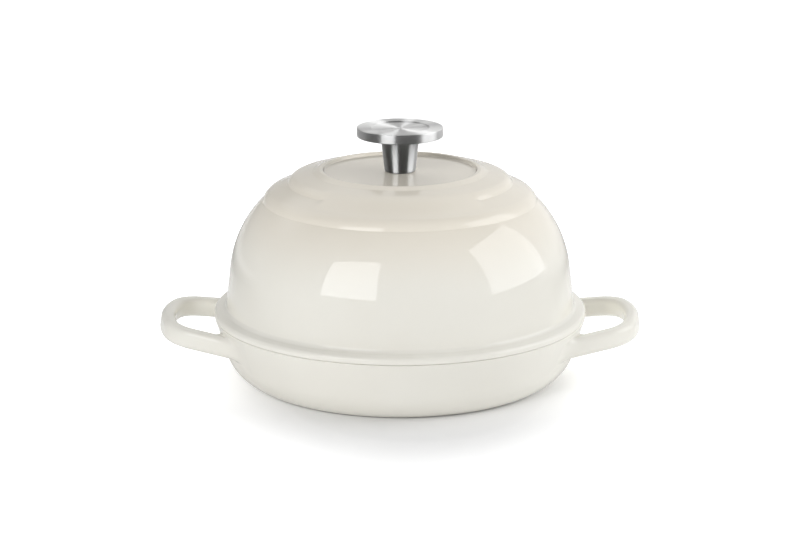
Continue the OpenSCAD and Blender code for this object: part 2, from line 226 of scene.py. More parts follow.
def makeCreamEnamel():
    look = {
        "tint": (0.815, 0.795, 0.727, 1),
        "otherTint": (0.825, 0.808, 0.742, 1),
        "cloudScale": 14,
        # partly painted light: warmer tint towards the crown
        "crownTint": (0.815, 0.765, 0.668, 1),
        "crownFrom": 0.080,
        "crownTo": 0.125,
        "footBlack": (0.10, 0.09, 0.085, 1),
        "blackBelow": 0.00035,
        "mirroredCrown": (0.10, 0.10, 0.09, 1),
        "mirroredAbove": (0.118, 0.126),
        "roughness": (0.020, 0.030),
        "waves": {"WaveScale": 22, "WaveDepth": 1.0, "PeelScale": 420, "PeelDepth": 0.012},
        "relief": (0.22, 0.00025),
    }
    material, tree, shader = newMaterial("creamEnamel")
    link = tree.links.new
    shader.inputs["IOR"].default_value = 1.5
    tint = placeTint(tree, look)
    waves = placeGroup(tree, glazeWaves, (-700, -300), **look["waves"])
    addRelief(tree, shader, waves.outputs["Height"], *look["relief"])
    # where it stands, the lowest 0.35 mm of the foot is coloured near black
    place = addNode(tree, "ShaderNodeTexCoord", (-1100, 0))
    axes = addNode(tree, "ShaderNodeSeparateXYZ", (-900, 0))
    lowestBand = rangeNode(tree, (-700, 0), look["blackBelow"], look["blackBelow"] / 3)
    foot = mixTints(tree, (-200, 200), second=look["footBlack"])
    # the coat is painted warmer towards the crown: partly the enamel's own graded tint, partly painted warm
    # light from above
    rise = rangeNode(tree, (-700, 520), look["crownFrom"], look["crownTo"], smooth=True)
    warm = mixTints(tree, (-450, 400), second=look["crownTint"])
    gloss = rangeNode(tree, (-400, -60), 0.0, 1.0, *look["roughness"])
    # painted reflection: above the crown's lower edge the coat is painted dark for mirror rays only, so the
    # knob's steel mirrors a dark crown and stands out dark against it
    up = rangeNode(tree, (-700, 750), *look["mirroredAbove"])
    ray = addNode(tree, "ShaderNodeLightPath", (-700, 1100))
    inSteel = addNode(tree, "ShaderNodeMath", (-450, 750), operation="MULTIPLY")
    mirrored = mixTints(tree, (0, 350), second=look["mirroredCrown"])
    link(axes.outputs["Z"], up.inputs["Value"])
    link(up.outputs["Result"], inSteel.inputs[0])
    link(ray.outputs["Is Glossy Ray"], inSteel.inputs[1])
    link(inSteel.outputs["Value"], mirrored.inputs["Factor"])
    link(place.outputs["Object"], axes.inputs["Vector"])
    link(axes.outputs["Z"], lowestBand.inputs["Value"])
    link(lowestBand.outputs["Result"], foot.inputs["Factor"])
    link(axes.outputs["Z"], rise.inputs["Value"])
    link(rise.outputs["Result"], warm.inputs["Factor"])
    link(tint.outputs["Color"], warm.inputs["A"])
    link(warm.outputs["Result"], foot.inputs["A"])
    link(foot.outputs["Result"], mirrored.inputs["A"])
    link(mirrored.outputs["Result"], shader.inputs["Base Color"])
    link(tint.outputs["Mask"], gloss.inputs["Value"])
    link(gloss.outputs["Result"], shader.inputs["Roughness"])
    return material


def makeBlackEnamel():
    look = {
        "tint": (0.014, 0.014, 0.015, 1),
        "otherTint": (0.024, 0.023, 0.023, 1),
        "cloudScale": 30,
        "fleck": (0.075, 0.073, 0.070, 1),
        "flecks": {"Scale": 700, "Amount": 0.16},
        "roughness": (0.46, 0.60),
        "grain": {"WaveScale": 900, "WaveDepth": 0.6, "PeelScale": 2600, "PeelDepth": 0.5},
        "relief": (0.6, 0.00015),
    }
    material, tree, shader = newMaterial("blackEnamel")
    link = tree.links.new
    tint = placeTint(tree, look)
    flecks = placeGroup(tree, speckle, (-700, 0), **look["flecks"])
    colour = mixTints(tree, (-350, 200), second=look["fleck"])
    grain = placeGroup(tree, glazeWaves, (-700, -300), **look["grain"])
    addRelief(tree, shader, grain.outputs["Height"], *look["relief"])
    shade = rangeNode(tree, (-350, -60), 0.0, 1.0, *look["roughness"])
    link(tint.outputs["Color"], colour.inputs["A"])
    link(flecks.outputs["Mask"], colour.inputs["Factor"])
    link(colour.outputs["Result"], shader.inputs["Base Color"])
    link(tint.outputs["Mask"], shade.inputs["Value"])
    link(shade.outputs["Result"], shader.inputs["Roughness"])
    return material


def makeTurnedSteel():
    look = {
        "tint": (0.86, 0.86, 0.85, 1),
        "otherTint": (0.90, 0.90, 0.89, 1),
        "cloudScale": 60,
        # painted light: paler tint for the top face
        "litTopTint": (0.90, 0.90, 0.89, 1),
        "topFrom": 0.1655,
        "topTo": 0.1668,
        "roughness": (0.36, 0.46),
        "grooves": 5200,
        "relief": (0.12, 0.00004),
    }
    material, tree, shader = newMaterial("turnedSteel")
    link = tree.links.new
    shader.inputs["Metallic"].default_value = 1.0
    shader.inputs["Anisotropic"].default_value = 1.0
    shader.inputs["Anisotropic Rotation"].default_value = 0.25
    around = addNode(tree, "ShaderNodeTangent", (-350, -500), direction_type="RADIAL", axis="Z")
    tint = placeTint(tree, look)
    # tool marks run round the axis: they vary with radius and height only
    place = addNode(tree, "ShaderNodeTexCoord", (-1500, -150))
    axes = addNode(tree, "ShaderNodeSeparateXYZ", (-1300, -150))
    flat = addNode(tree, "ShaderNodeCombineXYZ", (-1100, -50))
    radius = addNode(tree, "ShaderNodeVectorMath", (-900, -50), operation="LENGTH")
    marks = addNode(tree, "ShaderNodeCombineXYZ", (-700, -150))
    lines = addNode(tree, "ShaderNodeTexNoise", (-500, -150))
    lines.inputs["Scale"].default_value = look["grooves"]
    lines.inputs["Detail"].default_value = 2
    gloss = rangeNode(tree, (-250, -60), 0.0, 1.0, *look["roughness"])
    addRelief(tree, shader, lines.outputs["Fac"], *look["relief"])
    link(place.outputs["Object"], axes.inputs["Vector"])
    link(axes.outputs["X"], flat.inputs["X"])
    link(axes.outputs["Y"], flat.inputs["Y"])
    link(flat.outputs["Vector"], radius.inputs[0])
    link(radius.outputs["Value"], marks.inputs["X"])
    link(axes.outputs["Z"], marks.inputs["Y"])
    link(marks.outputs["Vector"], lines.inputs["Vector"])
    link(lines.outputs["Fac"], gloss.inputs["Value"])
    link(gloss.outputs["Result"], shader.inputs["Roughness"])
    # painted light: the top face, brushed in rings, is painted a little paler than the sides
    top = rangeNode(tree, (-700, 520), look["topFrom"], look["topTo"])
    paintedLitTop = mixTints(tree, (-400, 350), second=look["litTopTint"])
    link(axes.outputs["Z"], top.inputs["Value"])
    link(top.outputs["Result"], paintedLitTop.inputs["Factor"])
    link(tint.outputs["Color"], paintedLitTop.inputs["A"])
    link(paintedLitTop.outputs["Result"], shader.inputs["Base Color"])
    link(around.outputs["Tangent"], shader.inputs["Tangent"])
    return material


def makeZincSteel():
    look = {
        "tint": (0.46, 0.47, 0.48, 1),
        "otherTint": (0.56, 0.57, 0.57, 1),
        "cloudScale": 420,
        "roughness": (0.32, 0.48),
        "grain": {"WaveScale": 1400, "WaveDepth": 0.4, "PeelScale": 5200, "PeelDepth": 0.3},
        "relief": (0.4, 0.00006),
    }
    material, tree, shader = newMaterial("zincSteel")
    shader.inputs["Metallic"].default_value = 1.0
    tint = placeTint(tree, look)
    grain = placeGroup(tree, glazeWaves, (-700, -300), **look["grain"])
    addRelief(tree, shader, grain.outputs["Height"], *look["relief"])
    gloss = rangeNode(tree, (-350, -60), 0.0, 1.0, *look["roughness"])
    tree.links.new(tint.outputs["Color"], shader.inputs["Base Color"])
    tree.links.new(tint.outputs["Mask"], gloss.inputs["Value"])
    tree.links.new(gloss.outputs["Result"], shader.inputs["Roughness"])
    return material


creamEnamel = makeCreamEnamel()
blackEnamel = makeBlackEnamel()
turnedSteel = makeTurnedSteel()
zincSteel = makeZincSteel()
print("materials ready")


# outlines are drawn in the XZ plane and spun round Z
def roundCorners(bm, corners, steps=6):
    wanted = {}
    for vert, rounding in corners:
        first, second = [edge.other_vert(vert).co - vert.co for edge in vert.link_edges]
        wanted[vert] = rounding / math.tan(first.angle(second) / 2)
    setbacks = {}
    for vert in wanted:
        room = 1.0
        for edge in vert.link_edges:
            asked = sum(wanted.get(end, 0) for end in edge.verts)
            room = min(room, 0.98 * edge.calc_length() / asked)
        setbacks[vert] = wanted[vert] * room
    for vert, setback in setbacks.items():
        bmesh.ops.bevel(
            bm,
            geom=[vert],
            offset=setback,
            offset_type="OFFSET",
            segments=steps,
            profile=0.5,
            affect="VERTICES",
            material=-1,
        )


def drawOutline(bm, start, moves, fine=None):
    # a move is a corner (x, z, rounding) or ("arc", centre, degrees, steps)
    vert = bm.verts.new((start[0], 0, start[1]))
    corners = []
    for move in moves:
        if move[0] == "arc":
            spun = bmesh.ops.spin(
                bm,
                geom=[vert],
                cent=(move[1][0], 0, move[1][1]),
                axis=(0, -1, 0),
                angle=math.radians(move[2]),
                steps=move[3],
            )
            vert = [end for end in spun["geom_last"] if isinstance(end, bmesh.types.BMVert)][0]
            continue
        following = bm.verts.new((move[0], 0, move[1]))
        bm.edges.new((vert, following))
        vert = following
        if move[2]:
            corners.append((vert, move[2]))
    roundCorners(bm, corners)
    if not fine:
        return
    # long stretches between two heights are cut short
    low, high, longest = fine
    for edge in bm.edges[:]:
        cuts = int(edge.calc_length() / longest)
        if cuts and low < (edge.verts[0].co.z + edge.verts[1].co.z) / 2 < high:
            bmesh.ops.subdivide_edges(bm, edges=[edge], cuts=cuts)


def spinOutline(start, moves, steps, material, fine=None):
    # draws an outline in a bmesh of its own and turns it once round Z
    bm = bmesh.new()
    drawOutline(bm, start, moves, fine)
    bmesh.ops.spin(
        bm,
        geom=bm.verts[:] + bm.edges[:],
        cent=(0, 0, 0),
        axis=(0, 0, 1),
        angle=2 * math.pi,
        steps=steps,
        use_merge=True,
    )
    for face in bm.faces:
        face.material_index = material
    return bm


def joinShells(*shells):
    # puts shells into the first one's bmesh, and sews them where they meet
    whole = shells[0]
    for shell in shells[1:]:
        carrier = bpy.data.meshes.new("carrier")
        shell.to_mesh(carrier)
        shell.free()
        whole.from_mesh(carrier)
        bpy.data.meshes.remove(carrier)
    bmesh.ops.remove_doubles(whole, verts=whole.verts[:], dist=mergeGap)
    return whole


def newObject(name, bm, materials):
    mesh = bpy.data.meshes.new(name)
    bm.to_mesh(mesh)
    bm.free()
    for material in materials:
        mesh.materials.append(material)
    made = bpy.data.objects.new(name, mesh)
    bpy.context.collection.objects.link(made)
    return made


def finishPiece(name, bm, materials, body, node):
    # merges, turns the faces outwards and makes the object that stands for the CAD node
    bmesh.ops.remove_doubles(bm, verts=bm.verts[:], dist=mergeGap)
    bmesh.ops.dissolve_degenerate(bm, edges=bm.edges[:], dist=mergeGap / 10)
    bmesh.ops.recalc_face_normals(bm, faces=bm.faces[:])
    loose = sum(1 for edge in bm.edges if not edge.is_manifold)
    bmesh.ops.transform(bm, matrix=Matrix.Scale(millimetre, 4), verts=bm.verts[:])
    for face in bm.faces:
        face.smooth = True
    piece = newObject(name, bm, materials)
    weighted = piece.modifiers.new("flatFacesFirst", "WEIGHTED_NORMAL")
    weighted.mode = "FACE_AREA"
    weighted.weight = 50
    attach(piece, body)
    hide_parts(node)
    print(name, "made:", len(piece.data.polygons), "faces,", loose, "open edges")
    return piece


# pan with its two loop handles
panSizes = {
    "seatRadius": 124.0,
    "seatHeight": 41.6,
    "seatGap": 0.1,
    "edge": 0.6,
    "draft": 16.9,
    "round": 28.4,
    "roundTop": 17.8,
    "wall": 4.2,
    "floor": 5.2,
    "rimWidth": 6.5,
    "rimSeam": 1.2,
    "rimEdge": 0.9,
    "footWidth": 14.0,
    "footRecess": 0.8,
    "ringRadii": (20, 36, 52, 68),
    "ringWidth": 5.0,
    "ringHeight": 1.3,
    "wallRows": 1.4,
    "around": 360,
}
loopSizes = {
    "height": 31.9,
    "tilt": 9.0,
    "barWidth": 9.5,
    "barHeight": 13.2,
    "barRound": 4.0,
    "front": 31.85,
    "frontRound": 81.5,
    "frontTurn": 17.5,
    "cornerRound": 22.6,
    "armSpread": 16.0,
    "outerRoot": 13.0,
    "innerRoot": 18.0,
    "topRoot": 2.4,
    "bottomRoot": 2.0,
    "rootFrom": 10,
    "rootTo": 35,
    "rootLow": 18.0,
    "rootHigh": 40.8,
    "armSteps": 6,
    "rootSteps": 14,
}


def wallRadius(height):
    s = panSizes
    return s["seatRadius"] - (s["seatHeight"] - height) * math.tan(math.radians(s["draft"]))


def spinPan():
    s = panSizes
    lean = math.radians(s["draft"])
    turnRadius = wallRadius(s["roundTop"])
    centre = (turnRadius - s["round"] * math.cos(lean), s["roundTop"] + s["round"] * math.sin(lean))
    footReach = math.sqrt(s["round"] ** 2 - centre[1] ** 2)
    footTurn = math.degrees(math.acos(footReach / s["round"]))
    footRadius = centre[0] + footReach
    seat = s["seatHeight"] - s["seatGap"]
    ringInside = footRadius - s["footWidth"]
    outside = spinOutline(
        (0, s["footRecess"]),
        [
            (ringInside, s["footRecess"], s["footRecess"]),
            (ringInside + 2 * s["footRecess"], 0, s["footRecess"]),
            (footRadius, 0, 0),
            ("arc", centre, footTurn - s["draft"], 24),
            (s["seatRadius"], seat, s["edge"]),
            (s["seatRadius"] - s["rimSeam"], seat, 0),
        ],
        s["around"],
        0,
        (s["roundTop"], seat, s["wallRows"]),
    )
    innerRound = s["round"] - s["wall"]
    innerReach = math.sqrt(innerRound ** 2 - (centre[1] - s["floor"]) ** 2)
    innerTurn = math.degrees(math.acos(innerReach / innerRound))
    rimInside = s["seatRadius"] - s["rimWidth"]
    rimDrop = (s["seatRadius"] - s["wall"] / math.cos(lean) - rimInside) / math.tan(lean)
    moves = []
    for radius in s["ringRadii"]:
        moves += [
            (radius - s["ringWidth"] / 2, s["floor"], 0),
            (radius - s["ringWidth"] / 4, s["floor"] + s["ringHeight"], s["ringHeight"]),
            (radius + s["ringWidth"] / 4, s["floor"] + s["ringHeight"], s["ringHeight"]),
            (radius + s["ringWidth"] / 2, s["floor"], 0),
        ]
    moves += [
        (centre[0] + innerReach, s["floor"], 0),
        ("arc", centre, innerTurn - s["draft"], 24),
        (rimInside, s["seatHeight"] - rimDrop, 1.0),
        (rimInside, seat - s["rimEdge"], 0),
        (rimInside + s["rimEdge"], seat, 0),
        (s["seatRadius"] - s["rimSeam"], seat, 0),
    ]
    inside = spinOutline((0, s["floor"]), moves, s["around"], 1)
    return joinShells(outside, inside)


def azimuth(place):
    return math.degrees(math.atan2(place.y, place.x))


def openRoots(bm):
    # leaves a hole in the wall for each of the four roots, and returns the first one's border
    s = loopSizes
    inside = []
    columns = set()
    for face in bm.faces:
        middle = face.calc_center_median()
        onWall = abs(math.hypot(middle.x, middle.y) - wallRadius(middle.z)) < 0.2
        side = abs(azimuth(Vector((abs(middle.x), abs(middle.y)))))
        if onWall and s["rootLow"] < middle.z < s["rootHigh"] and s["rootFrom"] < side < s["rootTo"]:
            inside.append(face)
            columns.add(round(side, 1))
    rows = len(inside) // 4 // len(columns)
    bmesh.ops.delete(bm, geom=inside, context="FACES")
    border = {vert for edge in bm.edges if edge.is_boundary for vert in edge.verts}
    border = [vert.co.copy() for vert in border if vert.co.x > 0 and vert.co.y > 0]
    return border, len(columns), rows


def inOrder(points):
    # points given as {key: (across, up)}, in order round their middle from the upper outer corner
    wide = max(abs(across) for across, up in points.values())
    high = max(abs(up) for across, up in points.values())
    turns = {}
    for key, (across, up) in points.items():
        turns[key] = math.atan2(up / high, across / wide)
    ordered = sorted(points, key=lambda key: turns[key])
    corner = max(points, key=lambda key: points[key][0] / wide + points[key][1] / high)
    first = ordered.index(corner)
    return ordered[first:] + ordered[:first]


def onlyVerts(geom):
    return [part for part in geom if isinstance(part, bmesh.types.BMVert)]


def onlyEdges(geom):
    return [part for part in geom if isinstance(part, bmesh.types.BMEdge)]


def nearestInside(across, up):
    # nearest point on the straight-sided core that the bar's rounding is drawn round
    s = loopSizes
    wide = s["barWidth"] / 2 - s["barRound"]
    high = s["barHeight"] / 2 - s["barRound"]
    return Vector((max(-wide, min(wide, across)), max(-high, min(high, up))))


def barSection(bm, columns, rows):
    # a grid's border pulled in to a rounded rectangle at the middle of the loop's front
    s = loopSizes
    made = bmesh.ops.create_grid(
        bm,
        x_segments=columns,
        y_segments=rows,
        size=0.5,
        matrix=Matrix.Rotation(math.radians(90), 4, "X"),
    )
    faces = {face for vert in made["verts"] for face in vert.link_faces}
    bmesh.ops.delete(bm, geom=list(faces), context="FACES_KEEP_BOUNDARY")
    ring = [vert for vert in made["verts"] if vert.is_valid]
    for vert in ring:
        at = Vector((vert.co.x * s["barWidth"], vert.co.z * s["barHeight"]))
        core = nearestInside(at.x, at.y)
        at = core + (at - core).normalized() * s["barRound"]
        vert.co = (s["front"] + at.x, 0, at.y)
    return ring


def rootSpread(out, up):
    # how far a root's blend runs sideways and upwards, by the way its side faces
    s = loopSizes
    wide = s["outerRoot"] if out > 0 else s["innerRoot"]
    high = s["topRoot"] if up > 0 else s["bottomRoot"]
    return wide * out, high * up


def onWall(place):
    radius = wallRadius(place.z)
    return Vector((place.x, place.y, 0)).normalized() * radius + Vector((0, 0, place.z))


def growRing(bm, edges, whereTo):
    # extrudes a ring of edges once, and puts each new point where its old one leads
    grown = bmesh.ops.extrude_edge_only(bm, edges=edges)["geom"]
    fresh = onlyVerts(grown)
    freshSet = set(fresh)
    cameFrom = {}
    for vert in fresh:
        ends = [edge.other_vert(vert) for edge in vert.link_edges]
        cameFrom[vert] = [end for end in ends if end not in freshSet and end in whereTo][0]
    for vert, old in cameFrom.items():
        vert.co = whereTo[old]
    ringEdges = [edge for edge in onlyEdges(grown) if freshSet.issuperset(edge.verts)]
    return ringEdges, cameFrom


def rootRoutes(ring, place, middle, sideways, inwards):
    # each point of the bar runs straight to its blend, then bends on to the wall
    lean = math.radians(panSizes["draft"])
    routes = {}
    for vert in ring:
        across = (vert.co - middle).dot(sideways)
        out, up = (Vector((across, vert.co.z)) - nearestInside(across, vert.co.z)).normalized()
        start = place @ vert.co
        meet = start.copy()
        for step in range(20):
            meet += inwards * (math.hypot(meet.x, meet.y) - wallRadius(meet.z))
        outwards = Vector((meet.x, meet.y, 0)).normalized()
        sidelong = Vector((-outwards.y, outwards.x, 0))
        upwards = outwards * math.sin(lean) + Vector((0, 0, math.cos(lean)))
        wide, high = rootSpread(out, up)
        land = onWall(meet + sidelong * wide + upwards * high)
        leave = meet - inwards * math.hypot(wide, high)
        routes[vert] = (start, leave, meet, land, (across, vert.co.z))
    return routes


def sewToWall(routes, border):
    # each point of the root's last ring goes to its own point on the hole's border
    turns = [azimuth(at) for at in border]
    heights = [at.z for at in border]
    turn = (min(turns) + max(turns)) / 2
    height = (min(heights) + max(heights)) / 2
    around = inOrder({index: (turns[index] - turn, at.z - height) for index, at in enumerate(border)})
    ring = inOrder({vert: route[4] for vert, route in routes.items()})
    return {vert: border[index] for vert, index in zip(ring, around)}


def halfLoop(bm, border, columns, rows):
    s = loopSizes
    shell = set(bm.verts)
    ring = barSection(bm, columns, rows)
    geom = ring + list({edge for vert in ring for edge in vert.link_edges})
    frontCentre = s["front"] - s["frontRound"]
    turn = math.radians(s["frontTurn"])
    spread = math.radians(s["armSpread"])
    reach = s["frontRound"] - s["cornerRound"]
    cornerCentre = Vector((frontCentre + reach * math.cos(turn), reach * math.sin(turn), 0))
    bends = (
        (Vector((frontCentre, 0, 0)), turn, 8),
        (cornerCentre, math.radians(90) - spread - turn, 20),
    )
    for centre, angle, steps in bends:
        spun = bmesh.ops.spin(bm, geom=geom, cent=centre, axis=(0, 0, 1), angle=angle, steps=steps)
        geom = spun["geom_last"]
    place = Matrix.Translation((panSizes["seatRadius"], 0, s["height"]))
    place = place @ Matrix.Rotation(-math.radians(s["tilt"]), 4, "Y")
    sideways = Vector((math.sin(spread), math.cos(spread), 0))
    inwards = place.to_3x3() @ Vector((-math.cos(spread), math.sin(spread), 0))
    middle = cornerCentre + sideways * s["cornerRound"]
    routes = rootRoutes(onlyVerts(geom), place, middle, sideways, inwards)
    edges = onlyEdges(geom)
    bmesh.ops.transform(bm, matrix=place, verts=[vert for vert in bm.verts if vert not in shell])
    for step in range(1, s["armSteps"] + 1):
        share = step / s["armSteps"]
        whereTo = {vert: route[0].lerp(route[1], share) for vert, route in routes.items()}
        edges, cameFrom = growRing(bm, edges, whereTo)
        routes = {vert: routes[old] for vert, old in cameFrom.items()}
    for step in range(1, s["rootSteps"] + 1):
        share = step / s["rootSteps"]
        whereTo = {}
        for vert, (start, leave, meet, land, at) in routes.items():
            whereTo[vert] = leave.lerp(meet, share).lerp(meet.lerp(land, share), share)
        edges, cameFrom = growRing(bm, edges, whereTo)
        routes = {vert: routes[old] for vert, old in cameFrom.items()}
    lands = [route[3] for route in routes.values()]
    print("root spans azimuth", round(min(map(azimuth, lands)), 1), round(max(map(azimuth, lands)), 1))
    print("root spans height", round(min(at.z for at in lands), 1), round(max(at.z for at in lands), 1))
    growRing(bm, edges, sewToWall(routes, border))


def addLoops(bm):
    border, columns, rows = openRoots(bm)
    shell = set(bm.faces)
    halfLoop(bm, border, columns, rows)
    for axis in ("Y", "X"):
        faces = [face for face in bm.faces if face not in shell]
        parts = {part for face in faces for part in list(face.verts) + list(face.edges)}
        geom = faces + list(parts)
        bmesh.ops.mirror(bm, geom=geom, matrix=Matrix.Identity(4), merge_dist=mergeGap, axis=axis)
    for face in bm.faces:
        if face not in shell:
            face.material_index = 0
    print("loop section", columns, "by", rows)


def makePan():
    bm = spinPan()
    addLoops(bm)
    return finishPiece("enamelledPan", bm, [creamEnamel, blackEnamel], "pan", "base_pan")


makePan()


# lid: flange, dome, stepped crown and sunk plate
lidSizes = {
    "seatGap": 0.1,
    "edge": 0.6,
    "flangeHeight": 4.1,
    "flangeRise": 1.9,
    "flangeWidth": 7.8,
    "flangeRound": 2.3,
    "cove": 3.0,
    "draft": 6.8,
    "domeRise": 32.8,
    "domeRound": 74.5,
    "wall": 4.0,
    "lipGap": 0.7,
    "lipDrop": 3.2,
    "firstStep": 90.9,
    "domeUnder": 1.2,
    "firstSide": (2.4, 5.3),
    "terraceRise": 6.3,
    "secondStep": 74.5,
    "secondSide": (2.6, 4.2),
    "crownRise": 3.1,
    "ridgeSlope": (4.6, 1.9),
    "ridgeTop": 2.4,
    "plateRadius": 50.0,
    "plateSink": 1.9,
    "plateDraft": 30,
    "plateThick": 5.2,
    "firstShoulder": 10.5,
    "firstCrease": 0.6,
    "secondShoulder": 7.0,
    "secondCrease": 0.8,
    "shoulder": 3.4,
    "crease": 1.6,
    "plateEdge": 0.8,
    "hole": 3.5,
    "ceiling": 60.6,
    "ceilingRound": 34.0,
    "ceilingGap": 3,
    "crownRows": 1.6,
    "around": 360,
    "smoothFrom": 39.0,
    "smoothTo": 45.0,
    "smoothInside": 66.0,
    "smoothOutside": 84.0,
}


def smoothStep(low, high, value):
    share = max(0.0, min(1.0, (value - low) / (high - low)))
    return share * share * (3 - 2 * share)


def softenFront(bm, inside, outside):
    # at the front the second step fades out into one smooth curve from terrace to terrace
    s = lidSizes
    span = outside[0] - inside[0]
    for vert in bm.verts:
        radius = math.hypot(vert.co.x, vert.co.y)
        if not inside[0] < radius < outside[0] or vert.co.z < outside[1] - 1:
            continue
        turn = abs(math.degrees(math.atan2(vert.co.x, -vert.co.y)))
        hold = 1 - smoothStep(s["smoothFrom"], s["smoothTo"], turn)
        share = (radius - inside[0]) / span
        rest = 1 - share
        height = inside[1] * rest * rest * (1 + 2 * share) + outside[1] * share * share * (3 - 2 * share)
        height += span * share * rest * (inside[2] * rest - outside[2] * share)
        vert.co.z += (height - vert.co.z) * hold


def makeLid():
    s = lidSizes
    seat = panSizes["seatHeight"]
    seatRadius = panSizes["seatRadius"]
    lean = math.radians(s["draft"])
    wallFoot = (seatRadius - s["flangeWidth"], seat + s["flangeHeight"] + s["flangeRise"])
    turnHeight = seat + s["domeRise"]
    turnRadius = wallFoot[0] - (turnHeight - wallFoot[1]) * math.tan(lean)
    centre = (turnRadius - s["domeRound"] * math.cos(lean), turnHeight - s["domeRound"] * math.sin(lean))
    domeEnd = math.degrees(math.acos((s["firstStep"] - centre[0]) / s["domeRound"]))
    firstCrease = centre[1] + s["domeRound"] * math.sin(math.radians(domeEnd))
    firstShoulder = (s["firstStep"] - s["firstSide"][0], firstCrease + s["firstSide"][1])
    secondCrease = firstShoulder[1] + s["terraceRise"]
    secondShoulder = (s["secondStep"] - s["secondSide"][0], secondCrease + s["secondSide"][1])
    ridgeFoot = secondShoulder[1] + s["crownRise"]
    ridge = ridgeFoot + s["ridgeSlope"][1]
    plate = ridge - s["plateSink"]
    ridgeInside = s["plateRadius"] + s["plateSink"] * math.tan(math.radians(s["plateDraft"]))
    ridgeOutside = ridgeInside + s["ridgeTop"]
    slopeFoot = ridgeOutside + s["ridgeSlope"][0]
    domeTop = s["firstStep"] + s["domeUnder"]
    topTurn = math.acos((domeTop - centre[0]) / s["domeRound"])
    outside = spinOutline(
        (s["hole"], plate),
        [
            (s["plateRadius"], plate, s["plateEdge"]),
            (ridgeInside, ridge, s["plateEdge"]),
            (ridgeOutside, ridge, s["crease"]),
            (slopeFoot, ridgeFoot, s["shoulder"]),
            (secondShoulder[0], secondShoulder[1], s["secondShoulder"]),
            (s["secondStep"], secondCrease, s["secondCrease"]),
            (firstShoulder[0], firstShoulder[1], s["firstShoulder"]),
            (s["firstStep"], firstCrease, s["firstCrease"]),
            (domeTop, centre[1] + s["domeRound"] * math.sin(topTurn), 0),
            ("arc", centre, s["draft"] - math.degrees(topTurn), 40),
            (wallFoot[0], wallFoot[1], s["cove"]),
            (seatRadius, seat + s["flangeHeight"], s["flangeRound"]),
            (seatRadius, seat + s["seatGap"], s["edge"]),
            (seatRadius - panSizes["rimSeam"], seat + s["seatGap"], 0),
        ],
        s["around"],
        0,
        (firstCrease, ridge, s["crownRows"]),
    )
    upperSlope = -s["crownRise"] / (secondShoulder[0] - slopeFoot)
    lowerSlope = -s["terraceRise"] / (firstShoulder[0] - s["secondStep"])
    upperRise = (s["smoothInside"] - secondShoulder[0]) * upperSlope
    lowerRise = (s["smoothOutside"] - s["secondStep"]) * lowerSlope
    softenFront(
        outside,
        (s["smoothInside"], secondShoulder[1] + upperRise, upperSlope),
        (s["smoothOutside"], secondCrease + lowerRise, lowerSlope),
    )
    lipOutside = seatRadius - panSizes["rimWidth"] - s["lipGap"]
    lipInside = wallFoot[0] + (wallFoot[1] - seat) * math.tan(lean) - s["wall"] / math.cos(lean)
    innerRound = s["domeRound"] - s["wall"]
    coneTurn = math.radians(domeEnd)
    coneFoot = (centre[0] + innerRound * math.cos(coneTurn), centre[1] + innerRound * math.sin(coneTurn))
    # the inner round starts on the leaning wall and stops short of the cone
    innerStart = (centre[0] + innerRound * math.cos(lean), centre[1] + innerRound * math.sin(lean))
    inside = spinOutline(
        (seatRadius - panSizes["rimSeam"], seat + s["seatGap"]),
        [
            (lipOutside, seat + s["seatGap"], s["plateEdge"]),
            (lipOutside, seat - s["lipDrop"], 1.0),
            (lipInside, seat - s["lipDrop"], 1.0),
            (innerStart[0], innerStart[1], 0),
            ("arc", centre, domeEnd - s["ceilingGap"] - s["draft"], 30),
            (coneFoot[0], coneFoot[1], s["ceilingRound"]),
            (s["ceiling"], plate - s["plateThick"], s["ceilingRound"]),
            (s["hole"], plate - s["plateThick"], 0),
            (s["hole"], plate, 0),
        ],
        s["around"],
        1,
    )
    bm = joinShells(outside, inside)
    finishPiece("enamelledLid", bm, [creamEnamel, blackEnamel], "lid", "dome_lid")
    return plate


plateHeight = makeLid()


# knob, turned from one bar of steel
knobSizes = {
    "head": 28.5,
    "headThick": 6.1,
    "stemHeight": 23.6,
    "stemTop": 12.9,
    "stemFoot": 10.1,
    "flare": 1.6,
    "footEdge": 1.5,
    "edge": 0.7,
    "dish": 19.5,
    "dishDepth": 0.9,
    "bore": 3.1,
    "boreDepth": 15.0,
    "around": 256,
}


def makeKnob():
    s = knobSizes
    foot = plateHeight
    under = foot + s["stemHeight"]
    top = under + s["headThick"]
    bm = spinOutline(
        (0, foot + s["boreDepth"]),
        [
            (s["bore"], foot + s["boreDepth"], 0),
            (s["bore"], foot, 0),
            (s["stemFoot"], foot, s["footEdge"]),
            (s["stemTop"], under, s["flare"]),
            (s["head"], under, s["edge"]),
            (s["head"], top, s["edge"]),
            (s["dish"], top, s["edge"] / 2),
            (s["dish"] - s["dishDepth"], top - s["dishDepth"], s["dishDepth"]),
            (0, top - s["dishDepth"], 0),
        ],
        s["around"],
        0,
    )
    return finishPiece("turnedKnob", bm, [turnedSteel], "lid", "knob")


makeKnob()


# the screw and its two washers keep their CAD shapes, in plated steel
for name in ("knob_screw", "lock_washer", "flat_washer"):
    fastener = nodes[name]
    for place in fastener.material_slots:
        place.material = zincSteel
    if not fastener.material_slots:
        fastener.data.materials.append(zincSteel)
print("fasteners ready")


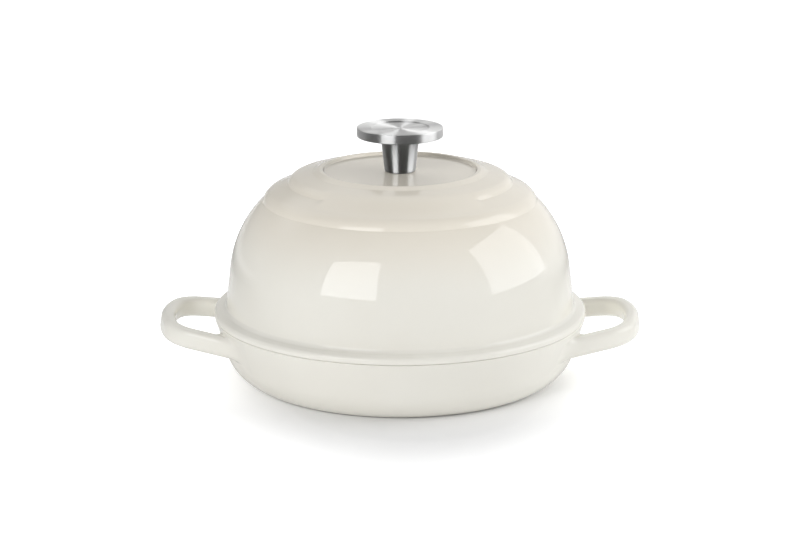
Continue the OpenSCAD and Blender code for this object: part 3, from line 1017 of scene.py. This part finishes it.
# studio: pale floor, two upright soft boxes and a room that lights and mirrors differently
studio = {
    "floorRadius": 8.0,
    "floorTint": (0.85, 0.85, 0.85, 1),
    "floorMottle": (0.86, 0.86, 0.86, 1),
    # painted shadow: the floor's glow fades towards the object; bounce is the glow that lights the object
    "glow": (
        (0.060, 0.0),
        (0.084, 0.02),
        (0.107, 0.08),
        (0.13, 0.21),
        (0.16, 0.38),
        (0.20, 0.50),
        (1.0, 0.70),
    ),
    "bounce": ((0.05, 0.0), (0.085, 0.08), (0.15, 0.10), (1.0, 0.10)),
    # painted reflection: floor tint seen in mirror rays far out
    "mirroredTint": (0.12, 0.12, 0.12, 1),
    "mirroredFar": (0.30, 0.50),
    "darkFront": (0.9, 0.3),
    "shadeShift": (-0.012, 0.035, 0),
    "shadeScale": (1.3, 1.0, 1.0),
    "cloth": ((0.97, 0.98, 1.0, 1), (1.0, 1.0, 1.0, 1)),
    "boxes": (
        {
            "name": "leftBox",
            "turn": -14.7,
            "away": 1.0,
            "sides": (-0.746, -0.002),
            "rise": (0.182, 0.962),
            "light": 4.2,
            "mirrored": 3.3,
        },
        {
            "name": "rightBox",
            "turn": 79.9,
            "away": 1.0,
            "sides": (-0.366, 0.601),
            "rise": (0.131, 1.078),
            "light": 3.1,
            "mirrored": 2.4,
        },
    ),
    "litBack": (0.58, 0.98, 0.30, 4.4),
    "litAhead": (-0.2, -0.8),
    "litLow": (0.15, 0.55, 0.42, 0.0),
    "mirroredFront": 0.05,
    "mirroredBack": 0.95,
    "mirroredBeyond": (0.10, 0.45),
    "mirroredHigh": (0.40, 0.60),
    "lowBack": ((0.0, 0.30), (0.35, 0.30), (0.46, 0.60), (0.54, 0.66), (0.68, 0.90), (1.0, 0.90)),
    "behind": 1.05,
}


def greyRamp(tree, place, stops):
    ramp = addNode(tree, "ShaderNodeValToRGB", place)
    ramp.color_ramp.elements[0].position = stops[0][0]
    ramp.color_ramp.elements[1].position = stops[-1][0]
    for position, level in stops[1:-1]:
        ramp.color_ramp.elements.new(position)
    for element, (position, level) in zip(ramp.color_ramp.elements, stops):
        element.color = (level, level, level, 1)
    return ramp


def makeFloorMaterial():
    material, tree, shader = newMaterial("paleFloor")
    link = tree.links.new
    shader.inputs["Roughness"].default_value = 0.7
    shader.inputs["Specular IOR Level"].default_value = 0.2
    place = addNode(tree, "ShaderNodeTexCoord", (-1200, 0))
    mottle = addNode(tree, "ShaderNodeTexNoise", (-900, 200))
    mottle.inputs["Scale"].default_value = 3
    tint = mixTints(tree, (-500, 200), studio["floorTint"], studio["floorMottle"])
    # painted shadow and light: the floor glows, but not close to the object, which paints its contact
    # shadow; a weaker glow, also fading near the object, lights it, and little of it is mirrored in the
    # enamel
    shifted = addNode(tree, "ShaderNodeMapping", (-1100, -150))
    shifted.inputs["Location"].default_value = studio["shadeShift"]
    shifted.inputs["Scale"].default_value = studio["shadeScale"]
    distance = addNode(tree, "ShaderNodeVectorMath", (-900, -100), operation="LENGTH")
    paintedShadowGlow = greyRamp(tree, (-650, -100), studio["glow"])
    ray = addNode(tree, "ShaderNodeLightPath", (-650, -400))
    bounce = greyRamp(tree, (-650, -1050), studio["bounce"])
    shown = mixLevels(tree, (-500, -150))
    glow = mixLevels(tree, (-350, -150))
    # painted reflection: far out and towards the front, the floor is painted dark for mirror rays only, so
    # the enamel and the steel mirror a dark floor
    reach = addNode(tree, "ShaderNodeVectorMath", (-900, -300), operation="LENGTH")
    far = rangeNode(tree, (-650, -600), *studio["mirroredFar"], smooth=True)
    axes = addNode(tree, "ShaderNodeSeparateXYZ", (-900, -800))
    front = rangeNode(tree, (-650, -850), *studio["darkFront"], smooth=True)
    farFront = addNode(tree, "ShaderNodeMath", (-450, -700), operation="MULTIPLY")
    farMirror = addNode(tree, "ShaderNodeMath", (-350, -500), operation="MULTIPLY")
    dark = mixTints(tree, (-200, 200), second=studio["mirroredTint"])
    link(place.outputs["Object"], mottle.inputs["Vector"])
    link(place.outputs["Object"], shifted.inputs["Vector"])
    link(shifted.outputs["Vector"], distance.inputs[0])
    link(distance.outputs["Value"], paintedShadowGlow.inputs["Fac"])
    link(mottle.outputs["Fac"], tint.inputs["Factor"])
    link(place.outputs["Object"], reach.inputs[0])
    link(reach.outputs["Value"], far.inputs["Value"])
    link(place.outputs["Object"], axes.inputs["Vector"])
    link(axes.outputs["Y"], front.inputs["Value"])
    link(far.outputs["Result"], farFront.inputs[0])
    link(front.outputs["Result"], farFront.inputs[1])
    link(farFront.outputs["Value"], farMirror.inputs[0])
    link(ray.outputs["Is Glossy Ray"], farMirror.inputs[1])
    link(farMirror.outputs["Value"], dark.inputs["Factor"])
    link(tint.outputs["Result"], dark.inputs["A"])
    link(dark.outputs["Result"], shader.inputs["Base Color"])
    link(distance.outputs["Value"], bounce.inputs["Fac"])
    link(bounce.outputs["Color"], shown.inputs["A"])
    link(paintedShadowGlow.outputs["Color"], shown.inputs["B"])
    link(ray.outputs["Is Camera Ray"], shown.inputs["Factor"])
    link(shown.outputs["Result"], glow.inputs["A"])
    link(ray.outputs["Is Glossy Ray"], glow.inputs["Factor"])
    link(glow.outputs["Result"], shader.inputs["Emission Strength"])
    shader.inputs["Emission Color"].default_value = (1, 1, 1, 1)
    return material


def makeFloor():
    bm = bmesh.new()
    bmesh.ops.create_circle(bm, cap_ends=True, radius=studio["floorRadius"], segments=128)
    newObject("paleFloor", bm, [makeFloorMaterial()])


def makeSoftBox(sizes):
    # an upright panel: turn 0 faces the object from the camera's side, and grows to the right
    name = sizes["name"]
    material, tree, shader = newMaterial(name)
    tree.nodes.remove(shader)
    output = tree.nodes["Material Output"]
    glow = addNode(tree, "ShaderNodeEmission", (0, 0))
    ray = addNode(tree, "ShaderNodeLightPath", (-700, -200))
    level = mixLevels(tree, (-300, -200), sizes["light"], sizes["mirrored"])
    place = addNode(tree, "ShaderNodeTexCoord", (-1100, 0))
    fabric = addNode(tree, "ShaderNodeTexNoise", (-700, 200))
    fabric.inputs["Scale"].default_value = 2
    cloth = mixTints(tree, (-300, 100), *studio["cloth"])
    tree.links.new(place.outputs["Object"], fabric.inputs["Vector"])
    tree.links.new(fabric.outputs["Fac"], cloth.inputs["Factor"])
    tree.links.new(cloth.outputs["Result"], glow.inputs["Color"])
    tree.links.new(ray.outputs["Is Glossy Ray"], level.inputs["Factor"])
    tree.links.new(level.outputs["Result"], glow.inputs["Strength"])
    tree.links.new(glow.outputs["Emission"], output.inputs["Surface"])
    left, right = sizes["sides"]
    low, high = sizes["rise"]
    bm = bmesh.new()
    upright = Matrix.Rotation(math.radians(90), 4, "X")
    bmesh.ops.create_grid(bm, x_segments=1, y_segments=1, size=0.5, matrix=upright)
    bmesh.ops.scale(bm, vec=(right - left, 1, high - low), verts=bm.verts[:])
    middle = ((left + right) / 2, -sizes["away"], (low + high) / 2)
    bmesh.ops.translate(bm, vec=middle, verts=bm.verts[:])
    turned = Matrix.Rotation(math.radians(sizes["turn"]), 3, "Z")
    bmesh.ops.rotate(bm, cent=(0, 0, 0), matrix=turned, verts=bm.verts[:])
    box = newObject(name, bm, [material])
    box.visible_camera = False


def makeWorld():
    world = bpy.data.worlds.new("studioWorld")
    world.use_nodes = True
    tree = world.node_tree
    link = tree.links.new
    room = tree.nodes["Background"]
    output = tree.nodes["World Output"]
    place = addNode(tree, "ShaderNodeTexCoord", (-1300, 0))
    axes = addNode(tree, "ShaderNodeSeparateXYZ", (-1100, 0))
    link(place.outputs["Generated"], axes.inputs["Vector"])
    # what lights the object: a bright wall behind it, and a little from low in front
    back = rangeNode(tree, (-850, 150), *studio["litBack"], smooth=True)
    ahead = rangeNode(tree, (-850, 400), *studio["litAhead"], smooth=True)
    low = rangeNode(tree, (-850, 650), *studio["litLow"], smooth=True)
    lowAhead = addNode(tree, "ShaderNodeMath", (-550, 300), operation="MULTIPLY_ADD")
    link(axes.outputs["Y"], ahead.inputs["Value"])
    link(axes.outputs["Z"], low.inputs["Value"])
    link(ahead.outputs["Result"], lowAhead.inputs[0])
    link(low.outputs["Result"], lowAhead.inputs[1])
    link(axes.outputs["Y"], back.inputs["Value"])
    link(back.outputs["Result"], lowAhead.inputs[2])
    link(lowAhead.outputs["Value"], room.inputs["Strength"])
    # what is mirrored: a dark room in front, and low behind it a wall that is bright on the right
    turned = rangeNode(tree, (-850, -450), -1.0, 1.0)
    lowWall = greyRamp(tree, (-600, -450), studio["lowBack"])
    high = rangeNode(tree, (-850, -700), *studio["mirroredHigh"], smooth=True)
    wall = mixLevels(tree, (-300, -500), second=studio["mirroredBack"])
    beyond = rangeNode(tree, (-850, -950), *studio["mirroredBeyond"], smooth=True)
    seen = mixLevels(tree, (-100, -500), first=studio["mirroredFront"])
    mirror = addNode(tree, "ShaderNodeBackground", (100, -500))
    link(axes.outputs["X"], turned.inputs["Value"])
    link(turned.outputs["Result"], lowWall.inputs["Fac"])
    link(axes.outputs["Z"], high.inputs["Value"])
    link(axes.outputs["Y"], beyond.inputs["Value"])
    link(high.outputs["Result"], wall.inputs["Factor"])
    link(lowWall.outputs["Color"], wall.inputs["A"])
    link(beyond.outputs["Result"], seen.inputs["Factor"])
    link(wall.outputs["Result"], seen.inputs["B"])
    link(seen.outputs["Result"], mirror.inputs["Strength"])
    # what the camera sees directly
    white = addNode(tree, "ShaderNodeBackground", (100, -200))
    white.inputs["Strength"].default_value = studio["behind"]
    ray = addNode(tree, "ShaderNodeLightPath", (-300, 300))
    forMirror = addNode(tree, "ShaderNodeMixShader", (300, -100))
    forCamera = addNode(tree, "ShaderNodeMixShader", (500, 0))
    for background in (room, mirror, white):
        background.inputs["Color"].default_value = (1, 1, 1, 1)
    link(ray.outputs["Is Glossy Ray"], forMirror.inputs["Fac"])
    link(room.outputs["Background"], forMirror.inputs[1])
    link(mirror.outputs["Background"], forMirror.inputs[2])
    link(ray.outputs["Is Camera Ray"], forCamera.inputs["Fac"])
    link(forMirror.outputs["Shader"], forCamera.inputs[1])
    link(white.outputs["Background"], forCamera.inputs[2])
    link(forCamera.outputs["Shader"], output.inputs["Surface"])
    bpy.context.scene.world = world


makeFloor()
for box in studio["boxes"]:
    makeSoftBox(box)
makeWorld()
print("studio ready")
